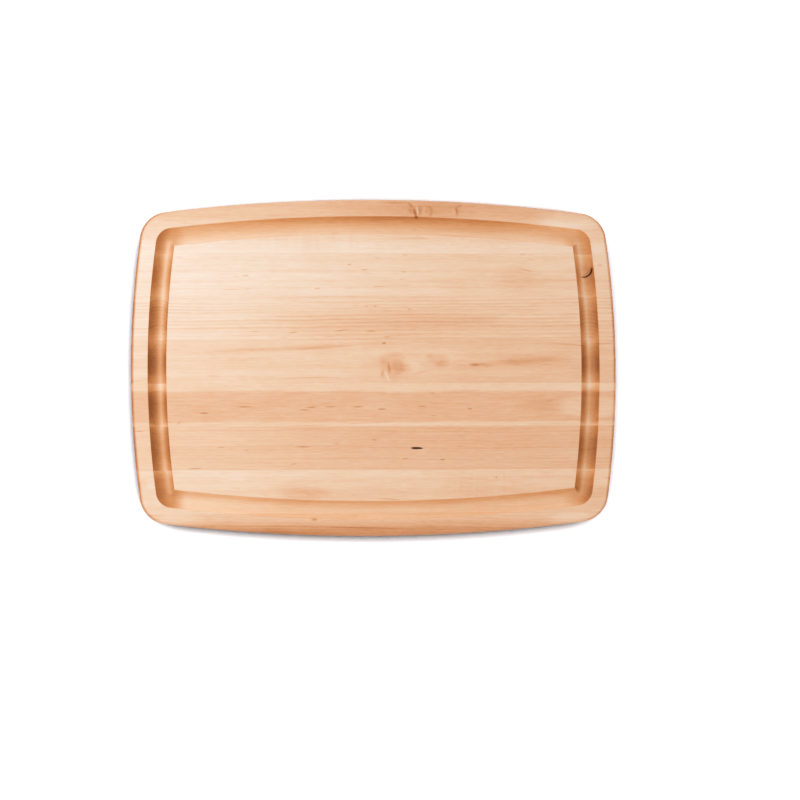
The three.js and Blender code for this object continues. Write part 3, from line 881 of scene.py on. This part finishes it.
grooveCut = {
    "turn": 1.7,             # how soon end grain shows as a wall turns across the fibres
    "shadedWallTurn": 0.9,      # added to that on the right run's inner wall, which faces away from the light on the left: painted shade
    "blend": 0.012,          # rounds off the change where the surface lies along them
    "figure": 0.6,           # share of the flat's figure that shows where the groove crosses the fibres
    "facesFront": -0.9,      # painted shade: a wall's direction along Y at which longRun's depth for it is reached
    "facesBack": 0.7,
    "runEnds": (195, 212),   # mm from mid length between which a long run turns into the side runs
    "rimBlend": 2,           # mm to both sides of mid rim
    "lipBlend": (0.1, 1.2),  # mm below the cutting face
}


# Depth of colour in the groove: the cut wood's own, with painted light and shade. Where it follows the fibres
# it takes the flat's colour, with painted shade that deepens the wall facing the front and eases the one
# facing the back. Where it crosses them the floor is long grain and the walls are end grain, mostly deepest
# in mid rail.
def routedDepth(tree, rail, axes, facing, flat, figure, inMiddle):
    onRight = addNode(tree, "ShaderNodeMath", {0: axes.outputs["X"], 1: 0.0}, operation="GREATER_THAN")
    picked = []
    for left, right in zip(rail["leftRun"], rail["rightRun"]):
        picked.append(addNode(tree, "ShaderNodeMix", {0: onRight, 2: left, 3: right}, data_type="FLOAT"))
    floor = addNode(tree, "ShaderNodeMix", {0: inMiddle, 2: picked[0], 3: picked[1]}, data_type="FLOAT")
    wall = addNode(tree, "ShaderNodeMix", {0: inMiddle, 2: picked[2], 3: picked[3]}, data_type="FLOAT")
    # the last pick leans the end grain's measure, which paints the pale strip off the floor's middle and one
    # wall deeper: painted light and shade
    tilt = addNode(tree, "ShaderNodeMath", {0: facing.outputs["X"], 1: picked[4]}, operation="SUBTRACT")
    # painted shade: the right run's inner wall, which faces away from the light on the left, darkens sooner
    shadedWall = addNode(tree, "ShaderNodeMath", {0: tilt, 1: 0.0}, operation="GREATER_THAN")
    shadedWall = addNode(tree, "ShaderNodeMath", {0: shadedWall, 1: onRight}, operation="MULTIPLY")
    turn = addNode(tree, "ShaderNodeMath", {0: shadedWall, 1: grooveCut["shadedWallTurn"], 2: grooveCut["turn"]},
                   operation="MULTIPLY_ADD")
    endways = addNode(tree, "ShaderNodeMath", {0: tilt, 1: tilt, 2: grooveCut["blend"]},
                      operation="MULTIPLY_ADD")
    endways = addNode(tree, "ShaderNodeMath", {0: endways}, operation="SQRT")
    endways = addNode(tree, "ShaderNodeMath", {0: endways, 1: turn}, operation="MULTIPLY")
    endways = addNode(tree, "ShaderNodeMath", {0: endways}, operation="TANH")
    depth = addNode(tree, "ShaderNodeMix", {0: endways, 2: floor, 3: wall}, data_type="FLOAT")
    depth = addNode(tree, "ShaderNodeMath", {0: figure, 1: grooveCut["figure"], 2: depth},
                    operation="MULTIPLY_ADD")
    # painted shade: walls that face the front are deepened and walls that face the back are eased
    if "longRun" in rail:
        toFront, level, toBack = rail["longRun"]
        along = addNode(tree, "ShaderNodeMath", {0: flat, 1: level})
        for added, steepest in ((toFront - level, grooveCut["facesFront"]),
                                (toBack - level, grooveCut["facesBack"])):
            wall = addNode(tree, "ShaderNodeMapRange", {"Value": facing.outputs["Y"], "From Max": steepest,
                                                        "To Max": added})
            along = addNode(tree, "ShaderNodeMath", {0: along, 1: wall})
        start, full = grooveCut["runEnds"]
        fromMiddle = addNode(tree, "ShaderNodeMath", {0: axes.outputs["X"]}, operation="ABSOLUTE")
        nearEnd = addNode(tree, "ShaderNodeMapRange", {"Value": fromMiddle, "From Min": start,
                                                       "From Max": full}, interpolation_type="SMOOTHSTEP")
        depth = addNode(tree, "ShaderNodeMix", {0: nearEnd, 2: along, 3: depth}, data_type="FLOAT")
    return depth


# 1 in the groove and 0 outside it: more than half a rim's width in from the board's edge, below the cutting
# face and above mid thickness
def grooveMask(tree, place, axes):
    squares = addNode(tree, "ShaderNodeVectorMath", {0: place, 1: place}, operation="MULTIPLY")
    squares = addNode(tree, "ShaderNodeSeparateXYZ", {0: squares})
    inset = None
    for along, across, half, bow in (("X", "Y", board["length"] / 2, board["endBow"]),
                                     ("Y", "X", board["width"] / 2, board["sideBow"])):
        reach = addNode(tree, "ShaderNodeMath", {0: axes.outputs[along]}, operation="ABSOLUTE")
        reach = addNode(tree, "ShaderNodeMath", {0: squares.outputs[across], 1: 0.5 / bow, 2: reach},
                        operation="MULTIPLY_ADD")
        reach = addNode(tree, "ShaderNodeMath", {0: half, 1: reach}, operation="SUBTRACT")
        inset = addNode(tree, "ShaderNodeMath", {0: reach, 1: inset}, operation="MINIMUM") if inset else reach
    midRim, blend = board["rim"] / 2, grooveCut["rimBlend"]
    down, deeper = grooveCut["lipBlend"]
    mask = addNode(tree, "ShaderNodeMath", {0: axes.outputs["Z"], 1: board["thickness"] / 2},
                   operation="GREATER_THAN")
    for value, start, full in ((inset, midRim - blend, midRim + blend),
                               (axes.outputs["Z"], board["thickness"] - down, board["thickness"] - deeper)):
        part = addNode(tree, "ShaderNodeMapRange", {"Value": value, "From Min": start, "From Max": full},
                       interpolation_type="SMOOTHSTEP")
        mask = addNode(tree, "ShaderNodeMath", {0: mask, 1: part}, operation="MULTIPLY")
    return mask


# Turns a depth of colour into a colour
def depthColour(tree, depth, depths):
    deepest = depths[-1][0]
    tone = addNode(tree, "ShaderNodeMath", {0: depth, 1: deepest}, operation="DIVIDE")
    tone = addNode(tree, "ShaderNodeValToRGB", {0: tone})
    stops = tone.color_ramp.elements
    stops[-1].position = 1
    for position, _ in depths[1:-1]:
        stops.new(position / deepest)
    for stop, (_, colour) in zip(stops, depths):
        stop.color = hexToLinear(colour)
    return tone


# A pattern is its length along the grain and its width across it, in mm. Depths are added to the depth of
# colour.
grain = {
    "bands": (700, 9),
    "clouds": (64, 18),
    "wisps": (46, 2.2),
    "wispDepth": 0.030,
    "fibres": (10, 0.9),         # drawn a little coarser than maple's fibres are, so that they show
    "fibreDepth": 0.050,
    "swing": (0.3, 0.7),         # what a noise pattern mostly stays between
    "flecks": (70, 6.5),         # the cell that holds one fleck
    "fleckSize": 0.085,          # as a share of that cell
    "fleckCore": 0.3,            # share of a fleck that is solid
    "oilPatches": (60, 14),
    "oilShift": 0.5,             # how far patches move the well oiled middle, as a share of half a rail
    "glueLine": 0.17,            # mm on each side of a joint
    "glueDepth": 0.12,
    "ior": 1.48,                 # of the oil
    "roughness": (0.42, 0.58),
    "relief": 0.5,
    "reliefHeight": 0.03,        # mm
    "nextRail": (731, 57, 193),  # mm from the stretch of pattern that one rail shows to the next rail's
}

endCut = {
    "turn": 2.0,     # how soon end grain shows as a surface turns across the fibres
    "middle": 0.06,  # depth that the middle of a rail adds
    "figure": 0.8,   # share of the long grain's figure that shows in it
    "rings": 0.08,   # depth that the rings add
}


# Oiled hard maple, sawn, glued, routed and sanded to a satin: pale long grain with fine lines and flecks, and
# darker, browner end grain wherever the cut runs across the fibres. It is one solid pattern, so it runs over
# the edges and down into the groove. Its colours in the groove, and its deepening to the right, carry painted
# light and shade as well.
def mapleFinish(name, rail, seed):
    material = bpy.data.materials.new("oiledMaple_" + name)
    material.use_nodes = True
    tree = material.node_tree
    tree.nodes.clear()
    low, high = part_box(name)
    middleY = (low.y + high.y) / 2 / mm
    halfWide = (high.y - low.y) / 2 / mm
    coordinates = addNode(tree, "ShaderNodeTexCoord")
    place = addNode(tree, "ShaderNodeVectorMath", {0: coordinates.outputs["Object"], "Scale": 1 / mm},
                    operation="SCALE")
    axes = addNode(tree, "ShaderNodeSeparateXYZ", {0: place})
    own = addNode(tree, "ShaderNodeVectorMath", {0: place, 1: [seed * step for step in grain["nextRail"]]})

    # What the figure adds to the depth of colour
    least, most = grain["swing"]
    rings = growthRings(tree, rail, place, own, seed, middleY)
    figure = addNode(tree, "ShaderNodeMath", {0: rings, 1: rail["lines"]}, operation="MULTIPLY")
    for kind, strength, detail in (("bands", rail["bands"], 1), ("clouds", rail["clouds"], 3),
                                   ("wisps", grain["wispDepth"], 2), ("fibres", grain["fibreDepth"], 3)):
        noise = grainNoise(tree, own, *grain[kind], detail)
        shift = addNode(tree, "ShaderNodeMapRange", {"Value": noise, "From Min": least, "From Max": most,
                                                     "To Min": -strength, "To Max": strength}, clamp=False)
        figure = addNode(tree, "ShaderNodeMath", {0: figure, 1: shift})
    fibre = noise  # the last and finest pattern, which the gloss and the relief follow too

    # Small brown flecks, longer along the grain
    cells = addNode(tree, "ShaderNodeTexVoronoi",
                    {"Vector": drawnOut(tree, own, *grain["flecks"]), "Scale": 1})
    size = grain["fleckSize"]
    fleck = addNode(tree, "ShaderNodeMapRange",
                    {"Value": cells.outputs["Distance"], "From Min": size,
                     "From Max": grain["fleckCore"] * size, "To Max": rail["flecks"]},
                    interpolation_type="SMOOTHSTEP")
    figure = addNode(tree, "ShaderNodeMath", {0: figure, 1: fleck})

    # The rail's own depth, which changes along it and towards the board's long edge. Its deepening to the
    # right is partly painted shade, for light that falls off to the right.
    left, right, reached = rail["tone"]
    flat = addNode(tree, "ShaderNodeMapRange",
                   {"Value": axes.outputs["X"], "From Min": -board["length"] / 2, "From Max": reached,
                    "To Min": left, "To Max": right}, interpolation_type="SMOOTHSTEP")
    flat = addNode(tree, "ShaderNodeMath", {0: flat, 1: figure})
    outwards = addNode(tree, "ShaderNodeMath", {0: axes.outputs["Y"]}, operation="ABSOLUTE")
    for start, full, extra in rail.get("edges", ()):
        toEdge = addNode(tree, "ShaderNodeMapRange", {"Value": outwards, "From Min": start, "From Max": full,
                                                      "To Max": extra}, interpolation_type="SMOOTHSTEP")
        flat = addNode(tree, "ShaderNodeMath", {0: flat, 1: toEdge})
    if "curl" in rail:
        flat = addNode(tree, "ShaderNodeMath", {0: flat, 1: curlFigure(tree, rail, place)})

    # The middle of a rail takes more oil than the wood beside its joints
    fromMiddle = addNode(tree, "ShaderNodeMath", {0: axes.outputs["Y"], 1: middleY}, operation="SUBTRACT")
    fromMiddle = addNode(tree, "ShaderNodeMath", {0: fromMiddle}, operation="ABSOLUTE")
    patches = grainNoise(tree, own, *grain["oilPatches"], 2)
    share = addNode(tree, "ShaderNodeMath", {0: fromMiddle, 1: halfWide}, operation="DIVIDE")
    share = addNode(tree, "ShaderNodeMath", {0: patches, 1: grain["oilShift"], 2: share},
                    operation="MULTIPLY_ADD")
    share = addNode(tree, "ShaderNodeMath", {0: share, 1: grain["oilShift"] / 2}, operation="SUBTRACT")
    share = addNode(tree, "ShaderNodeMath", {0: share, 1: share}, operation="MULTIPLY")
    inMiddle = addNode(tree, "ShaderNodeMath", {0: 1.0, 1: share}, operation="SUBTRACT", use_clamp=True)

    # End grain: the more a surface turns across the fibres, the nearer its colour comes to end grain's
    facing = addNode(tree, "ShaderNodeSeparateXYZ", {0: coordinates.outputs["Normal"]})
    endways = addNode(tree, "ShaderNodeMath", {0: facing.outputs["X"]}, operation="ABSOLUTE")
    endways = addNode(tree, "ShaderNodeMath", {0: endways, 1: endCut["turn"]}, operation="MULTIPLY")
    endways = addNode(tree, "ShaderNodeMath", {0: endways}, operation="TANH")
    endLeft, endRight = rail["endGrain"]
    ends = addNode(tree, "ShaderNodeMapRange",
                   {"Value": axes.outputs["X"], "From Min": -board["length"] / 2,
                    "From Max": board["length"] / 2, "To Min": endLeft, "To Max": endRight})
    for value, share in ((inMiddle, endCut["middle"]), (figure, endCut["figure"]), (rings, endCut["rings"])):
        ends = addNode(tree, "ShaderNodeMath", {0: value, 1: share, 2: ends}, operation="MULTIPLY_ADD")
    depth = addNode(tree, "ShaderNodeMix", {0: endways, 2: flat, 3: ends}, data_type="FLOAT")

    # The groove, then the marks, the glue lines and the crack's bark over everything
    inGroove = grooveMask(tree, place, axes)
    # the groove's depth: the cut wood's own colour, with painted light and shade on its walls
    routedAndShaded = routedDepth(tree, rail, axes, facing, flat, figure, inMiddle)
    depth = addNode(tree, "ShaderNodeMix", {0: inGroove, 2: depth, 3: routedAndShaded}, data_type="FLOAT")
    glue = addNode(tree, "ShaderNodeMapRange", {"Value": fromMiddle, "From Min": halfWide - grain["glueLine"],
                                                "From Max": halfWide, "To Max": grain["glueDepth"]})
    over = [growthMarks(tree, rail, place, own), glue]
    if name == "field_rail_1":
        over.append(barkRings(tree, place))
    for added in over:
        depth = addNode(tree, "ShaderNodeMath", {0: depth, 1: added})

    sanded = depthColour(tree, depth, mapleDepths)
    routedAndShaded = depthColour(tree, depth, routedOilAndBounceDepths)
    colour = addNode(tree, "ShaderNodeMix", {0: inGroove, 6: sanded, 7: routedAndShaded}, data_type="RGBA")

    glossiest, roughest = grain["roughness"]
    rough = addNode(tree, "ShaderNodeMapRange", {"Value": fibre, "To Min": glossiest, "To Max": roughest})
    relief = addNode(tree, "ShaderNodeMath", {0: fibre, 1: fleck}, operation="SUBTRACT")
    bump = addNode(tree, "ShaderNodeBump", {"Height": relief, "Strength": grain["relief"],
                                            "Distance": grain["reliefHeight"] * mm})
    surface = addNode(tree, "ShaderNodeBsdfPrincipled",
                      {"Base Color": colour, "Roughness": rough, "IOR": grain["ior"], "Normal": bump})
    addNode(tree, "ShaderNodeOutputMaterial", {"Surface": surface})
    return material


guide = guideLoop()
section = sectionRow()
crack = crackBlade()
tree = railTree()
sockets = {item.name: item.identifier for item in tree.interface.items_tree if item.in_out == "INPUT"}
for helper in (guide, section, crack):
    bpy.context.scene.collection.objects.link(helper)
pastEdge = 10 * mm  # how far an outer rail's slab reaches past the board
for seed, (name, rail) in enumerate(rails.items(), 1):
    low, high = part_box(name)
    cutter = guide.modifiers.new("rail", "NODES")
    cutter.node_group = tree
    sizes = {
        "Section": section,
        "Thickness": board["thickness"] * mm,
        "Groove Bend": board["grooveBend"] * mm,
        "Front Line": low.y - (pastEdge if name == "front_edge_rail" else 0),
        "Back Line": high.y + (pastEdge if name == "back_edge_rail" else 0),
        "Sharp Angle": math.radians(board["sharpAngle"]),
        "Finish": mapleFinish(name, rail, seed),
    }
    if name == "field_rail_1":
        sizes["Crack"] = crack
    for label, value in sizes.items():
        cutter[sockets[label]] = value
    evaluated = guide.evaluated_get(bpy.context.evaluated_depsgraph_get())
    mesh = bpy.data.meshes.new_from_object(evaluated)
    mesh.name = name + "_machined"
    guide.modifiers.remove(cutter)
    piece = bpy.data.objects.new(name + "_machined", mesh)
    bpy.context.scene.collection.objects.link(piece)
    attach(piece, "root")
    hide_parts(name)
    print(f"{name}: {len(mesh.polygons)} faces")
for helper in (guide, section, crack):
    bpy.data.objects.remove(helper)

print("board finished")
